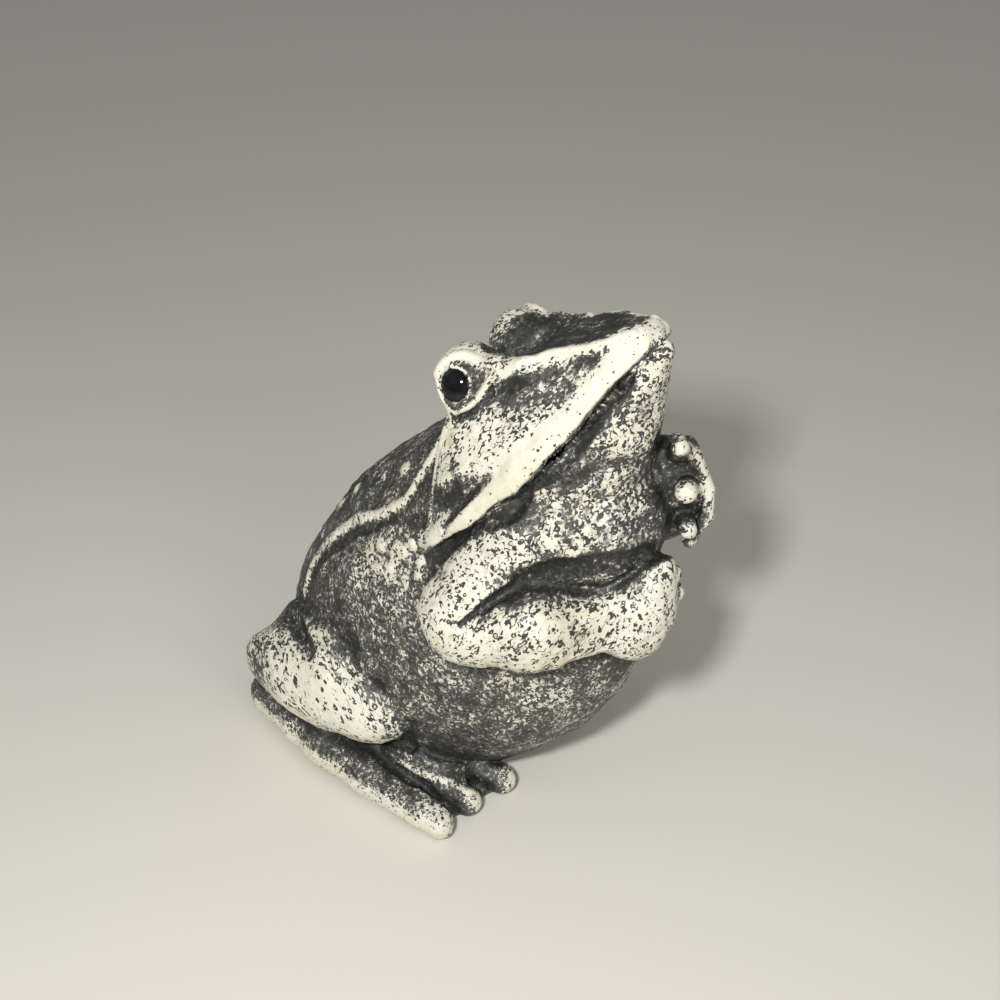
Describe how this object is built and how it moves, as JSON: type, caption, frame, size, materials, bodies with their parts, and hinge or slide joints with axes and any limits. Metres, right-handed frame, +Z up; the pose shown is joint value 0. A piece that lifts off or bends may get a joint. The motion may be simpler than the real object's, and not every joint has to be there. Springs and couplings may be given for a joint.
{
  "type": "frog figurine",
  "caption": "Seated frog figurine with its head tipped up and its hands folded on its chest, flat underneath so that it rests on a shelf or desk.",
  "frame": {"origin": "under the middle of the figure, on the face that it rests on", "axes": "+Z up, -Y the way the frog faces, so its right side is at -X"},
  "size_m": [0.0434, 0.0593, 0.0683],
  "materials": {
    "casting": "ivory cast stone with a dark antique wash in the recesses, satin",
    "eye_glass": "opaque black glass bead, glossy"
  },
  "bodies": {
    "root": {"torso": "casting", "chest": "casting", "head": "casting", "lower_jaw": "casting", "right_upper_arm": "casting", "right_forearm": "casting", "right_hand": "casting", "right_thigh": "casting", "right_calf": "casting", "right_foot": "casting", "left_upper_arm": "casting", "left_forearm": "casting", "left_hand": "casting", "left_thigh": "casting", "left_calf": "casting", "left_foot": "casting", "right_eye": "eye_glass", "left_eye": "eye_glass"}
  },
  "joints": []
}
